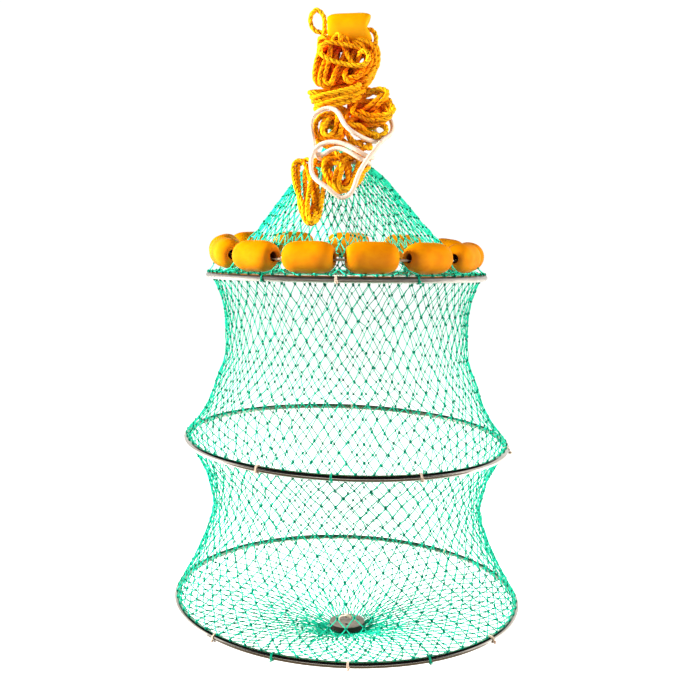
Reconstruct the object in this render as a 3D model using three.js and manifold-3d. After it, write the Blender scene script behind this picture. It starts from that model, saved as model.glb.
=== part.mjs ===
// Collapsible live bait cage for anglers: a tube of green knotted netting held open by three steel
// hoops, floated by a ring of foam barrels, weighted by a steel disc, and hung by its own hank of rope.
// Millimetres, +Z up, front towards -Y. The origin is the point by which the cage is held up.
import * as THREE from 'three';
import Module from 'manifold-3d';
import { ParametricGeometry } from 'three/addons/geometries/ParametricGeometry.js';
import { mergeVertices } from 'three/addons/utils/BufferGeometryUtils.js';

const wasm = await Module();
wasm.setup();

// Driving dimensions. Levels are heights above the middle of the top hoop.
const seat = 0.3; // clearance left between pieces that touch
const netThickness = 1.2; // a double layer of knotted twine
const rodDiameter = 6;
const hoops = {
  top: { radius: 135, level: 0 },
  middle: { radius: 159.5, level: -162 },
  bottom: { radius: 172, level: -323 },
};
const hoopColumns = 40;
const rodSides = 8;

const floatAngles = [-68.5, -41, -15, 10.3, 36.8, 62.5, 90, 118, 147.5, 180, 209, 240, 266]; // from the front
const floatSize = { length: 46, diameter: 28, bore: 7, endDiameter: 12 };
const floatLine = { diameter: 2.5, cornerRadius: 124.5, level: 16.5 };

const handle = { length: 43, diameter: 30, bore: 9, mouth: 22, level: 236.5, offset: 3, tilt: 2 };
const weight = { diameter: 36, thickness: 6, holeDiameter: 4.5, holeCircle: 18, topLevel: -356 };
const ropeDiameter = 4.8;
const tieDiameter = 4.2;
const weightTieDiameter = 1.8;
const hangLevel = handle.level + handle.diameter / 2; // the top of the handle float

// How the hanging cage leans: roll lowers the right side, nod lowers the front, drift moves sideways, and
// ride is the share of the collar's lift that reaches this level.
const leans = [
  { level: 141, roll: 0, nod: 0, drift: -13, ride: 0 },
  { level: 99, roll: 0, nod: 0, drift: -6.5, ride: 0 },
  { level: 35, roll: 0.7, nod: -0.7, drift: -0.8, ride: 1 },
  { level: 11, roll: 0.7, nod: -0.7, drift: -0.25, ride: 1 },
  { level: 4.4, roll: 0.7, nod: -0.7, drift: -0.1, ride: 0 },
  { level: 0, roll: 0.7, nod: -0.7, drift: 0, ride: 0 },
  { level: -162, roll: 2.3, nod: 0.7, drift: 0, ride: 0 },
  { level: -323, roll: 2.0, nod: -0.3, drift: 0, ride: 0 },
  { level: -380, roll: 0, nod: 0, drift: 0, ride: 0 },
];

// How far the collar rides up at each gap between floats, from the one before the first float.
const collarLift = [5, 1, 0, 0, 0, 0, 1, 3.5, 9.5, 13.5, 13.5, 13, 10];

// The cone of netting, from the top hoop up to the drawn-in mouth. Between two floats it is threaded on
// the float line, and behind each float it passes inside it.
const coneRows = [
  { gapRadius: 136, gapLevel: 3.9, floatRadius: 136, floatLevel: 3.9 },
  { gapRadius: 131.5, gapLevel: 7.6, floatRadius: 128, floatLevel: 3.8 },
  { gapRadius: 127.3, gapLevel: 11.3, floatRadius: 120.9, floatLevel: 3.5 },
  { gapRadius: 123.1, gapLevel: 14.8, floatRadius: 112, floatLevel: 4.4 },
  { gapRadius: 112, gapLevel: 22, floatRadius: 104, floatLevel: 9.5 },
  { gapRadius: 101, gapLevel: 28.8, floatRadius: 97, floatLevel: 20 },
  { gapRadius: 89.5, gapLevel: 36.5, floatRadius: 88, floatLevel: 35 },
  { gapRadius: 65, gapLevel: 67, floatRadius: 65, floatLevel: 67 },
  { gapRadius: 40, gapLevel: 99, floatRadius: 40, floatLevel: 99 },
  { gapRadius: 26, gapLevel: 110.5, floatRadius: 26, floatLevel: 110.5 },
  { gapRadius: 14, gapLevel: 121, floatRadius: 14, floatLevel: 121 },
  { gapRadius: 6, gapLevel: 132, floatRadius: 6, floatLevel: 132 },
  { gapRadius: 3.4, gapLevel: 141, floatRadius: 3.4, floatLevel: 141 },
];
const coneColumnShares = [0, 0.18, 0.82]; // of the way from one gap between floats to the next

const upperSideRows = [
  { radius: 134, level: -(rodDiameter / 2 + seat) },
  { radius: 128.5, level: -8 },
  { radius: 123, level: -22 },
  { radius: 120, level: -38 },
  { radius: 119.5, level: -74 },
  { radius: 121.5, level: -85 },
  { radius: 129, level: -102 },
  { radius: 135.5, level: -123 },
  { radius: 145, level: -141 },
  { radius: 158.8, level: hoops.middle.level + rodDiameter / 2 + seat },
];

const lowerSideRows = [
  { radius: 158.6, level: hoops.middle.level - rodDiameter / 2 - seat },
  { radius: 150, level: -178 },
  { radius: 142, level: -191 },
  { radius: 137, level: -212 },
  { radius: 133.5, level: -227 },
  { radius: 136, level: -241 },
  { radius: 144, level: -265 },
  { radius: 153, level: -285 },
  { radius: 162, level: -302 },
  { radius: 171.2, level: hoops.bottom.level + rodDiameter / 2 + seat },
];

// The base sags from the bottom hoop to the weight, and is drawn together under it.
const baseRows = [
  { radius: 171.4, level: hoops.bottom.level - rodDiameter / 2 - seat },
  { radius: 160, level: -331 },
  { radius: 132, level: -337 },
  { radius: 100, level: -343.5 },
  { radius: 66, level: -351 },
  { radius: 40, level: -357.5 },
  { radius: 20, level: -362.9 },
];
const baseGather = [
  { radius: 9, level: -364.2 },
  { radius: 7.5, level: -367 },
  { radius: 8.5, level: -371 },
  { radius: 5, level: -374 },
  { radius: 0, level: -374.5 },
];

// The lobes of the wound rope. Half sizes are along the lobe's own axes: span, depth and height.
// Turn is about the line of sight, and slope lays the lobe's foot forwards.
const hankLobes = [
  { x: -12, y: -8, z: 207, span: 19, depth: 14, height: 38, turn: 3, slope: 10 },
  { x: 8, y: -9, z: 207, span: 25, depth: 13, height: 28, turn: -8, slope: 8 },
  { x: -15, y: -19, z: 168, span: 23, depth: 15, height: 12, turn: 8, slope: 20 },
  { x: 24, y: -25, z: 156, span: 23, depth: 12, height: 19, turn: 16, slope: 25 },
  { x: 22, y: -34, z: 137, span: 17, depth: 9, height: 9, turn: 24, slope: 35 },
  { x: -11, y: -37, z: 138, span: 22, depth: 12, height: 34, turn: -9, slope: 34 },
  { x: 0, y: -60, z: 103, span: 19, depth: 10, height: 36, turn: -6, slope: 39 },
  { x: -30, y: -66, z: 89, span: 16, depth: 8.5, height: 45, turn: -11, slope: 40 },
];

// The small eye at the top of the hank, and the rope from it through the handle float.
const eyeRoute = [
  [-22.5, -3, 224],
  [-22, -1.5, 232],
  [-21.5, -0.5, 239],
  [-21.5, 0, 246],
  [-27, 0, 252.5],
  [-32.5, 0, 246],
  [-32, -0.5, 239],
  [-28, -1.5, 231],
  [-25, -4, 223],
];
const handleRoute = [
  [-25, -4, 223],
  [-26, -1.5, 232],
  [-20, 0, 237.5],
  [3, 0, 236],
  [26, 0, 234.3],
  [30, -1, 227],
  [25, -4, 216],
];
const leadRoute = [
  [-13, 0, 130],
  [-13, 0, 141],
  [-13, 0.5, 155],
  [-14, 0, 172],
  [-15, -2.5, 190],
  [-15, -6, 204],
];

// The white tie, laid over the front of the hank. Both ends are bare.
const tieRoute = [
  [-27, -59.8, 112.6],
  [-20.5, -62.7, 112.9],
  [-14.2, -63.1, 116.6],
  [-7.2, -64.6, 117.9],
  [-0.6, -67.2, 115.8],
  [5.4, -69.7, 112.4],
  [11.7, -70.4, 108.6],
  [17.5, -67.3, 105.7],
  [21.1, -61.1, 104.3],
  [20.9, -53.9, 104.7],
  [16.2, -48.4, 105.7],
  [9.7, -45.2, 106.7],
  [2.6, -43.3, 107.4],
  [-4.7, -42.6, 107.6],
  [-12.1, -43.1, 107.4],
  [-19.1, -45.3, 107.9],
  [-25.1, -48.5, 110.5],
  [-28.7, -51.6, 116],
  [-30, -51.9, 123.1],
  [-31.4, -49.7, 130],
  [-32.7, -46.5, 136.5],
  [-32.7, -43.4, 143.2],
  [-30.2, -41.4, 149.7],
  [-24.7, -40.8, 154.6],
  [-17.8, -41, 156.8],
  [-11, -42.9, 155.1],
  [-6.8, -46.4, 150.3],
  [-4.1, -50.3, 144.6],
  [-0.7, -53.6, 139.1],
  [4.7, -55, 134.2],
  [10.8, -53.3, 130.6],
  [16.8, -49.8, 128.1],
  [22.6, -45.7, 126.4],
  [27.6, -40.3, 126.2],
  [30.2, -33.7, 127.8],
  [30, -27.1, 131],
  [28.4, -21.1, 135],
  [26.8, -15.9, 140],
  [26.3, -11.5, 145.8],
  [28.6, -8.2, 151.9],
  [34.8, -7.1, 155],
  [40.7, -9.7, 151.9],
  [43.1, -14.4, 146.8],
  [43.6, -19.9, 141.9],
  [42.7, -25.7, 137.5],
  [40.7, -31.7, 133.7],
  [37.8, -37.9, 130.9],
  [34.6, -44, 128.3],
  [32, -50.2, 125.3],
  [29.8, -56.5, 122.1],
  [27.6, -62.7, 118.7],
  [25, -68.6, 115.2],
  [21.8, -73.7, 111],
  [18.2, -77.8, 106],
  [14.6, -81, 100.4],
  [11.3, -83.6, 94.4],
  [8.8, -85.7, 87.8],
  [6.4, -87.1, 80.9],
  [2.3, -87.1, 74.9],
  [-4.4, -86.5, 72.5],
  [-10.8, -86.5, 75.8],
  [-16.3, -86.7, 80.7],
  [-22.3, -85.6, 84.9],
  [-27.5, -82.7, 89.2],
  [-30.6, -78.4, 94.3],
  [-31.9, -73.5, 99.6],
  [-32.1, -68.7, 105.2],
  [-31.2, -64.4, 111.1],
  [-28.4, -61.6, 117.2],
  [-22.8, -61.9, 121.7],
  [-16, -63.9, 123.4],
  [-8.8, -65.6, 123.1],
  [-1.9, -67.2, 121.3],
  [4.6, -69.2, 118.3],
  [10.9, -70.2, 114.6],
  [16.9, -67.9, 111.3],
  [21.2, -62.2, 109.8],
  [24, -55.4, 110.2],
];

// The string through two holes of the weight, as an arch over it.
const weightTieRoute = [
  [-7.95, 0, -361],
  [-7.95, 0, -355],
  [-7, -0.5, -351.5],
  [0, -1, -350],
  [7, -0.5, -351.5],
  [7.95, 0, -355],
  [7.95, 0, -361],
];

const finishes = {
  netting: { color: 0x35c79a, roughness: 0.7, metalness: 0 },
  steel: { color: 0xb9b4ac, roughness: 0.25, metalness: 1 },
  foam: { color: 0xffa616, roughness: 0.65, metalness: 0 },
  lead: { color: 0x6e625c, roughness: 0.6, metalness: 0.6 },
  rope: { color: 0xf59a1b, roughness: 0.7, metalness: 0 },
  cord: { color: 0xf3e6d6, roughness: 0.75, metalness: 0 },
};

function mesh(name, geometry, finish) {
  const piece = new THREE.Mesh(geometry, new THREE.MeshStandardMaterial(finishes[finish]));
  piece.name = name;
  return piece;
}

// The lean of the cage at one level, read between the rows of the table.
function leanAt(level) {
  const below = Math.max(1, leans.findIndex((row) => row.level <= level));
  const a = leans[below - 1];
  const b = leans[below];
  const share = THREE.MathUtils.clamp((level - a.level) / (b.level - a.level), 0, 1);
  const mixed = (key) => THREE.MathUtils.lerp(a[key], b[key], share);
  return { roll: mixed('roll'), nod: mixed('nod'), drift: mixed('drift'), ride: mixed('ride') };
}

function collarLiftAt(angle) {
  let i = 0;
  while (gapAngle(i) > angle) i -= 1;
  while (gapAngle(i + 1) <= angle) i += 1;
  const share = (angle - gapAngle(i)) / (gapAngle(i + 1) - gapAngle(i));
  const count = collarLift.length;
  const at = (k) => collarLift[((k % count) + count) % count];
  return THREE.MathUtils.lerp(at(i), at(i + 1), share);
}

// A point of the hanging cage. The angle is in degrees from the front, towards the right.
function hangingPoint(radius, angle, level) {
  const turn = THREE.MathUtils.degToRad(angle);
  const x = radius * Math.sin(turn);
  const y = -radius * Math.cos(turn);
  const { roll, nod, drift, ride } = leanAt(level);
  const drop = y * Math.tan(THREE.MathUtils.degToRad(nod)) - x * Math.tan(THREE.MathUtils.degToRad(roll));
  return new THREE.Vector3(x + drift, y, level + drop + ride * collarLiftAt(angle));
}

const gapAngles = floatAngles.map((angle, i) => {
  const before = i > 0 ? floatAngles[i - 1] : floatAngles[floatAngles.length - 1] - 360;
  return (before + angle) / 2;
});

function gapAngle(i) {
  const turns = Math.floor(i / gapAngles.length);
  return gapAngles[i - turns * gapAngles.length] + 360 * turns;
}

const evenAngles = Array.from({ length: hoopColumns }, (_, i) => (360 * i) / hoopColumns);

// A body swept round the cage: at each angle a closed section of [radius, level] points.
function roundBody(angles, pointCount, sectionPoint) {
  const surface = (across, around, target) => {
    const column = Math.round(around * angles.length) % angles.length;
    const point = Math.round((1 - across) * pointCount) % pointCount;
    const [radius, level] = sectionPoint(point, column);
    target.copy(hangingPoint(radius, angles[column], level));
  };
  return new ParametricGeometry(surface, pointCount, angles.length);
}

function rod(radius, level, diameter, sides, angles) {
  const corner = diameter / 2 / Math.cos(Math.PI / sides);
  return roundBody(angles, sides, (point) => {
    const turn = (2 * Math.PI * (point + 0.5)) / sides;
    return [radius + corner * Math.cos(turn), level + corner * Math.sin(turn)];
  });
}

// The closed section of a sheet along rows of [radius, level]: up one face, back down the other.
// Its end faces are level.
function sheetSection(rows) {
  const half = netThickness / 2;
  const offset = rows.map((row, i) => {
    const from = rows[Math.max(0, i - 1)];
    const to = rows[Math.min(rows.length - 1, i + 1)];
    const length = Math.hypot(to[0] - from[0], to[1] - from[1]);
    return [(half * (to[1] - from[1])) / length, (-half * (to[0] - from[0])) / length];
  });
  const outer = rows.map((row, i) => [row[0] + offset[i][0], row[1] + offset[i][1]]);
  const inner = rows.map((row, i) => [row[0] - offset[i][0], row[1] - offset[i][1]]);
  for (const i of [0, rows.length - 1]) {
    outer[i][1] = rows[i][1];
    inner[i][1] = rows[i][1];
  }
  return [...outer, ...inner.reverse()];
}

function sidePanel(name, rows) {
  const upwards = [...rows].reverse().map((row) => [row.radius, row.level]);
  const section = sheetSection(upwards);
  return mesh(name, roundBody(evenAngles, section.length, (point) => section[point]), 'netting');
}

function cone() {
  const angles = floatAngles.flatMap((_, i) =>
    coneColumnShares.map((share) => THREE.MathUtils.lerp(gapAngle(i), gapAngle(i + 1), share)));
  const sections = ['gap', 'float'].map((place) => {
    const rows = coneRows.map((row) => [row[`${place}Radius`], row[`${place}Level`]]);
    const section = sheetSection(rows);
    section[0] = [rows[0][0], rows[0][1] + netThickness / 2];
    section[section.length - 1] = [rows[0][0], rows[0][1] - netThickness / 2];
    return section;
  });
  const pick = (point, column) => sections[column % coneColumnShares.length === 0 ? 0 : 1][point];
  return mesh('net_cone', roundBody(angles, sections[0].length, pick), 'netting');
}

// The base is a dished disc: its section runs from the axis, out along the top and back underneath.
function base() {
  const half = netThickness / 2;
  const rows = [...baseRows].reverse();
  const top = rows.map((row) => [row.radius, row.level + half]);
  const under = baseRows.map((row) => [row.radius, row.level - half]);
  top[top.length - 1] = [baseRows[0].radius - half, baseRows[0].level];
  under[0] = [baseRows[0].radius + half, baseRows[0].level];
  const gather = baseGather.map((row) => [row.radius, row.level]);
  const profile = [[0, top[0][1]], ...top, ...under, ...gather];
  const points = profile.map(([radius, level]) => new THREE.Vector2(radius, level));
  const geometry = new THREE.LatheGeometry(points.reverse(), hoopColumns);
  const position = geometry.getAttribute('position');
  for (let i = 0; i < position.count; i += 1) {
    const [x, level, z] = [position.getX(i), position.getY(i), position.getZ(i)];
    const angle = THREE.MathUtils.radToDeg(Math.atan2(x, z));
    const place = hangingPoint(Math.hypot(x, z), angle, level);
    position.setXYZ(i, place.x, place.y, place.z);
  }
  return mesh('net_base', geometry, 'netting');
}

function hoop(name) {
  const { radius, level } = hoops[name];
  return mesh(`hoop_${name}`, rod(radius, level, rodDiameter, rodSides, evenAngles), 'steel');
}

function barrel(size, sides) {
  const half = size.length / 2;
  const profile = [
    [size.bore / 2, half - 0.4],
    [size.endDiameter / 2, half],
    [size.diameter * 0.41, half * 0.85],
    [size.diameter / 2, half * 0.56],
  ];
  const mirrored = profile.map(([radius, along]) => [radius, -along]).reverse();
  const loop = [...profile, ...mirrored, profile[0]].reverse();
  return new THREE.LatheGeometry(loop.map(([r, along]) => new THREE.Vector2(r, along)), sides);
}

// Each barrel is strung on one straight run of the float line, which lies at the bottom of its bore.
function float(i) {
  const from = hangingPoint(floatLine.cornerRadius, gapAngle(i), floatLine.level);
  const to = hangingPoint(floatLine.cornerRadius, gapAngle(i + 1), floatLine.level);
  const piece = mesh(`float_${i + 1}`, barrel(floatSize, 10), 'foam');
  const along = to.clone().sub(from).normalize();
  piece.quaternion.setFromUnitVectors(new THREE.Vector3(0, 1, 0), along);
  piece.position.addVectors(from, to).multiplyScalar(0.5);
  piece.position.z += (floatSize.bore - floatLine.diameter) / 2 - seat;
  return piece;
}

function floatCord() {
  const { cornerRadius, level, diameter } = floatLine;
  return mesh('float_cord', rod(cornerRadius, level, diameter, 8, gapAngles), 'cord');
}

// A round cord along a smooth route of [x, y, z] points.
function cordTube(route, diameter, steps, sides = 8) {
  const curve = new THREE.CatmullRomCurve3(route.map((point) => new THREE.Vector3(...point)), false, 'centripetal');
  const section = new THREE.Shape();
  section.setFromPoints(Array.from({ length: sides }, (_, i) => {
    const turn = (2 * Math.PI * i) / sides;
    return new THREE.Vector2((diameter / 2) * Math.cos(turn), (diameter / 2) * Math.sin(turn));
  }));
  return new THREE.ExtrudeGeometry(section, { steps, extrudePath: curve });
}

function solid(geometry) {
  const bare = geometry.clone();
  bare.deleteAttribute('normal');
  bare.deleteAttribute('uv');
  const merged = mergeVertices(bare, 1e-4);
  return new wasm.Manifold(new wasm.Mesh({
    numProp: 3,
    vertProperties: new Float32Array(merged.getAttribute('position').array),
    triVerts: new Uint32Array(merged.getIndex().array),
  }));
}

function geometryOf(body) {
  const { vertProperties, triVerts } = body.getMesh();
  const geometry = new THREE.BufferGeometry();
  geometry.setAttribute('position', new THREE.BufferAttribute(new Float32Array(vertProperties), 3));
  geometry.setIndex(new THREE.BufferAttribute(new Uint32Array(triVerts), 1));
  return geometry;
}

function placeHandle(profile) {
  const geometry = new THREE.LatheGeometry(profile.map(([r, along]) => new THREE.Vector2(r, along)), 16);
  geometry.rotateZ(-Math.PI / 2);
  geometry.rotateY(-THREE.MathUtils.degToRad(handle.tilt));
  return geometry.translate(handle.offset, 0, handle.level);
}

// The handle float: a barrel whose bore opens into a wide mouth at each end.
function handleFloat() {
  const half = handle.length / 2;
  const outer = handle.diameter / 2;
  const profile = [[handle.bore / 2, half * 0.7], [handle.mouth / 2, half], [outer * 0.9, half], [outer, half * 0.8]];
  const mirrored = profile.map(([radius, along]) => [radius, -along]).reverse();
  return mesh('handle_float', placeHandle([...profile, ...mirrored, profile[0]].reverse()), 'foam');
}

function handleSeat() {
  const half = handle.length / 2 + seat;
  const outer = handle.diameter / 2 + seat;
  return placeHandle([[0, -half], [outer, -half], [outer, half], [0, half]]);
}

// The hank: its lobes, hollowed for the handle float, with the eye and the run through the float joined
// on, and cleared of the lead and the tie.
function hank() {
  const lobes = hankLobes.map((lobe) => {
    const geometry = new THREE.SphereGeometry(1, 10, 7);
    geometry.rotateX(Math.PI / 2);
    geometry.scale(lobe.span, lobe.depth, lobe.height);
    geometry.rotateX(-THREE.MathUtils.degToRad(lobe.slope));
    geometry.rotateY(THREE.MathUtils.degToRad(lobe.turn));
    return solid(geometry.translate(lobe.x, lobe.y, lobe.z));
  });
  const eye = solid(cordTube(eyeRoute, ropeDiameter, 18));
  const through = solid(cordTube(handleRoute, ropeDiameter, 16));
  const lead = solid(cordTube(leadRoute, ropeDiameter + 2 * seat, 12));
  const tie = solid(cordTube(tieRoute, tieDiameter + 2 * seat, 72));
  const wound = wasm.Manifold.union(lobes).subtract(solid(handleSeat()));
  const body = wound.add(eye).add(through).subtract(lead).subtract(tie);
  return mesh('rope_hank', geometryOf(body), 'rope');
}

function weightDisc() {
  const outline = new THREE.Shape();
  outline.absarc(0, 0, weight.diameter / 2, 0, 2 * Math.PI);
  for (let i = 0; i < 4; i += 1) {
    const turn = (i * Math.PI) / 2;
    const hole = new THREE.Path();
    const x = (weight.holeCircle / 2) * Math.cos(turn);
    const y = (weight.holeCircle / 2) * Math.sin(turn);
    hole.absarc(x, y, weight.holeDiameter / 2, 0, 2 * Math.PI, true);
    outline.holes.push(hole);
  }
  const size = { depth: weight.thickness, bevelEnabled: false, curveSegments: 12 };
  const piece = mesh('weight', new THREE.ExtrudeGeometry(outline, size), 'lead');
  piece.position.z = weight.topLevel - weight.thickness;
  return piece;
}

const cage = new THREE.Group();
cage.position.z = -hangLevel;
Object.keys(hoops).forEach((name) => cage.add(hoop(name)));
cage.add(cone(), sidePanel('net_side_upper', upperSideRows), sidePanel('net_side_lower', lowerSideRows), base());
floatAngles.forEach((_, i) => cage.add(float(i)));
cage.add(floatCord(), weightDisc(), mesh('weight_tie', cordTube(weightTieRoute, weightTieDiameter, 16), 'cord'));
cage.add(hank(), handleFloat());
cage.add(mesh('rope_lead', cordTube(leadRoute, ropeDiameter, 12), 'rope'));
cage.add(mesh('tie_cord', cordTube(tieRoute, tieDiameter, 72), 'cord'));

export default cage;
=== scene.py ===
# A floating live bait cage: a tube of knotted netting on three steel hoops, a collar of foam floats,
# a sinker in its base, and the hank of rope that it hangs by.
# Metres, +Z up, front towards -Y. The origin is the point by which the cage is held up.
# Levels in the tables are millimetres above the middle of the top hoop.
import bpy
import numpy as np
from functools import partial
from math import cos, exp, pi, radians, sin, sqrt, tanh
from mathutils import Matrix, Quaternion, Vector


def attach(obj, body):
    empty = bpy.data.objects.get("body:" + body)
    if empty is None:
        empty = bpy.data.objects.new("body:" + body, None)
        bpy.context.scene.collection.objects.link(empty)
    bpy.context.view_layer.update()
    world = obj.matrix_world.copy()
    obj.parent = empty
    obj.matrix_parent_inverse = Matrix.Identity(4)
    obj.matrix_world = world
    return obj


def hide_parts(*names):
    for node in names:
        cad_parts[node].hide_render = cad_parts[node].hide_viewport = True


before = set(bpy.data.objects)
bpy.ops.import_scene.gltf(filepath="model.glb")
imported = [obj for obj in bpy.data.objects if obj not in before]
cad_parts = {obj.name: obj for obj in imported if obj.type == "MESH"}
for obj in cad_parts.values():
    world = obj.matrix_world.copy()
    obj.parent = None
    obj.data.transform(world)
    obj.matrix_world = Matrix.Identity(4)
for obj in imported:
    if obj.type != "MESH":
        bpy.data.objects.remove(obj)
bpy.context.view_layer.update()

hangLevel = 251.0  # the origin, above the middle of the top hoop

# how the hanging cage leans: level, roll lowers the right side, nod lowers the front, drift moves
# sideways, and the share of the collar's lift that reaches this level
leans = np.array([
    (-380, 0.0, 0.0, 0.0, 0),
    (-323, 2.0, -0.3, 0.0, 0),
    (-162, 2.3, 0.7, 0.0, 0),
    (0, 0.7, -0.7, 0.0, 0),
    (4.4, 0.7, -0.7, -0.1, 0),
    (11, 0.7, -0.7, -0.25, 1),
    (35, 0.7, -0.7, -0.8, 1),
    (99, 0.0, 0.0, -6.5, 0),
    (141, 0.0, 0.0, -13.0, 0),
])

# angle of each float from the front, and how far the collar rides up at the gap before it
collar = np.array([
    (-68.5, 5), (-41, 1), (-15, 0), (10.3, 0), (36.8, 0), (62.5, 0), (90, 1), (118, 3.5), (147.5, 9.5),
    (180, 13.5), (209, 13.5), (240, 13), (266, 10),
])
gapAngles = (collar[:, 0] + np.append(collar[-1, 0] - 360, collar[:-1, 0])) / 2
gapsRound = np.append(gapAngles, gapAngles[0] + 360)


def inFrame(points):
    points = np.asarray(points, float)
    return (points - np.array([0, 0, hangLevel])) / 1000


def hangingPoint(radius, angle, level):
    # angle in degrees from the front, towards the right
    radius, angle, level = np.broadcast_arrays(*(np.asarray(v, float) for v in (radius, angle, level)))
    roll, nod, drift, ride = (np.interp(level, leans[:, 0], leans[:, k]) for k in (1, 2, 3, 4))
    turn = np.radians(angle)
    x, y = radius * np.sin(turn), -radius * np.cos(turn)
    drop = y * np.tan(np.radians(nod)) - x * np.tan(np.radians(roll))
    around = (angle - gapAngles[0]) % 360 + gapAngles[0]
    lift = np.interp(around, gapsRound, np.append(collar[:, 1], collar[0, 1]))
    return inFrame(np.stack([x + drift, y, level + drop + ride * lift], axis=-1))


def linear(hexColour, alpha=1.0):
    parts = [int(hexColour[i:i + 2], 16) / 255 for i in (1, 3, 5)]
    return tuple(c / 12.92 if c <= 0.04045 else ((c + 0.055) / 1.055) ** 2.4 for c in parts) + (alpha,)


def plug(node, inputs):
    # inputs by name or in order: each takes a value, another node's output, or a node for its first output
    for key, value in inputs.items() if isinstance(inputs, dict) else enumerate(inputs):
        if isinstance(value, bpy.types.Node):
            value = value.outputs[0]
        if isinstance(value, bpy.types.NodeSocket):
            node.id_data.links.new(value, node.inputs[key])
        else:
            node.inputs[key].default_value = value


def addNode(tree, kind, inputs=(), stops=(), **settings):
    made = tree.nodes.new(kind)
    for key, value in settings.items():
        setattr(made, key, value)
    plug(made, inputs)
    for i, (place, colour) in enumerate(stops):  # of a colour ramp
        element = made.color_ramp.elements[i] if i < 2 else made.color_ramp.elements.new(place)
        element.position, element.color = place, linear(colour)
    return made


def newMaterial(name, **values):
    # the material, a way to add nodes to its tree, and its shader
    made = bpy.data.materials.new(name)
    made.use_nodes = True
    shader = made.node_tree.nodes["Principled BSDF"]
    plug(shader, {key.replace("_", " "): value for key, value in values.items()})
    return made, partial(addNode, made.node_tree), shader


def newObject(name, data):
    made = bpy.data.objects.new(name, data)
    bpy.context.collection.objects.link(made)
    return made


def clouded(add, at, scale, detail, dark, light):
    # a noise of so many patches to the metre, and the tone that it gives
    cloud = add("ShaderNodeTexNoise", {"Vector": at, "Scale": scale, "Detail": detail})
    return cloud, add("ShaderNodeValToRGB", [cloud], stops=[(0.3, dark), (0.7, light)])


def meshPiece(name, vertices, faces=(), edges=(), smooth=True):
    mesh = bpy.data.meshes.new(name)
    faces, edges = [tuple(f) for f in faces], [tuple(e) for e in edges]
    mesh.from_pydata([tuple(v) for v in np.asarray(vertices, float)], edges, faces)
    mesh.update()
    if smooth and faces:
        mesh.polygons.foreach_set("use_smooth", [True] * len(mesh.polygons))
    return newObject(name, mesh)


def chainEdges(count, first=0):
    # joins each point of an open line to the next
    return [(first + i, first + i + 1) for i in range(count - 1)]


def bandFaces(rows, columns, closed=True, first=0):
    # the faces between rings of points, and from the last ring back to the first where closed
    return [(first + i * columns + j, first + i * columns + (j + 1) % columns,
             first + (i + 1) % rows * columns + (j + 1) % columns, first + (i + 1) % rows * columns + j)
            for i in range(rows if closed else rows - 1) for j in range(columns)]


def setAttributes(piece, **attributes):
    # a number or a vector for each point
    for name, values in attributes.items():
        values = np.asarray(values, np.float32)
        kind, field = ("FLOAT", "value") if values.ndim == 1 else ("FLOAT_VECTOR", "vector")
        piece.data.attributes.new(name, kind, "POINT").data.foreach_set(field, values.ravel())


def finishPiece(piece, slot, *nodes, material=None):
    if material is not None:
        piece.data.materials.clear()
        piece.data.materials.append(material)
    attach(piece, "root")
    if nodes:
        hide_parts(*nodes)
    return piece


def stepsAlong(points):
    # how far along a line each of its points lies
    return np.concatenate([[0], np.cumsum(np.linalg.norm(np.diff(points, axis=0), axis=1))])


def smoothRoute(points, step):
    # a centripetal Catmull-Rom route through the points, then spaced evenly
    points = np.asarray(points, float)
    ends = np.vstack([2 * points[0] - points[1], points, 2 * points[-1] - points[-2]])
    gaps = np.maximum(np.linalg.norm(np.diff(ends, axis=0), axis=1) ** 0.5, 1e-6)
    at = np.concatenate([[0], np.cumsum(gaps)])
    fine = []
    for i in range(1, len(ends) - 2):
        t = np.linspace(at[i], at[i + 1], 16, endpoint=False)[:, None]
        p, k = ends[i - 1:i + 3], at[i - 1:i + 3]
        a = [((k[j + 1] - t) * p[j] + (t - k[j]) * p[j + 1]) / (k[j + 1] - k[j]) for j in range(3)]
        b = [((k[j + 2] - t) * a[j] + (t - k[j]) * a[j + 1]) / (k[j + 2] - k[j]) for j in range(2)]
        fine.append(((k[2] - t) * b[0] + (t - k[1]) * b[1]) / (k[2] - k[1]))
    fine = np.vstack(fine + [points[-1:]])
    along = stepsAlong(fine)
    stops = np.linspace(0, along[-1], max(3, int(round(along[-1] / step)) + 1))
    return np.stack([np.interp(stops, along, fine[:, k]) for k in range(3)], axis=1)


def routeLength(points):
    return float(np.linalg.norm(np.diff(points, axis=0), axis=1).sum())


studio = {
    "cameraAt": (0.00313, -0.9077, -0.2195),
    "cameraPitch": 83.375,
    "lens": 46.92,
    # the sky by the height that a ray looks up to, from straight down to straight up
    "sky": [(0.0, "#9a958e"), (0.40, "#a9a59f"), (0.44, "#ffffff"), (0.67, "#ffffff"), (0.71, "#63676a"),
            (0.77, "#141617")],
    "skyStrength": 1.04,
    # two lights from the sides; the front is left to the soft sky
    "key": {"at": (-2.1, -0.35, 0.35), "aim": (0, 0, -0.25), "size": 0.7, "power": 150},
    "fill": {"at": (2.1, -0.5, 0.2), "aim": (0, 0, -0.3), "size": 1.0, "power": 60},
    "table": "#fbfbfa",
    "tableGlow": 0.9,
    "floor": [(-6, -6, -0.8), (6, -6, -0.8), (6, 6, -0.8), (-6, 6, -0.8)],
    "reflectedCard": [(-2, -1.7, -0.798), (2, -1.7, -0.798), (2, 0, -0.798), (-2, 0, -0.798)],
    # the card's tones, from well in front of the cage to right under it
    "cardSpan": (-1.6, 0.0),
    "cardTones": [(0.0, "#fbfbfa"), (1.0, "#fbfbfa"), (0.25, "#857a69"), (0.5, "#50463a"), (0.75, "#786c59"),
                  (0.88, "#8d806b")],
    "roomEnd": [(-8, -1.8, -0.6), (8, -1.8, -0.6), (8, -1.8, 0.7), (-8, -1.8, 0.7)],
    "room": "#141210",
}
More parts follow.
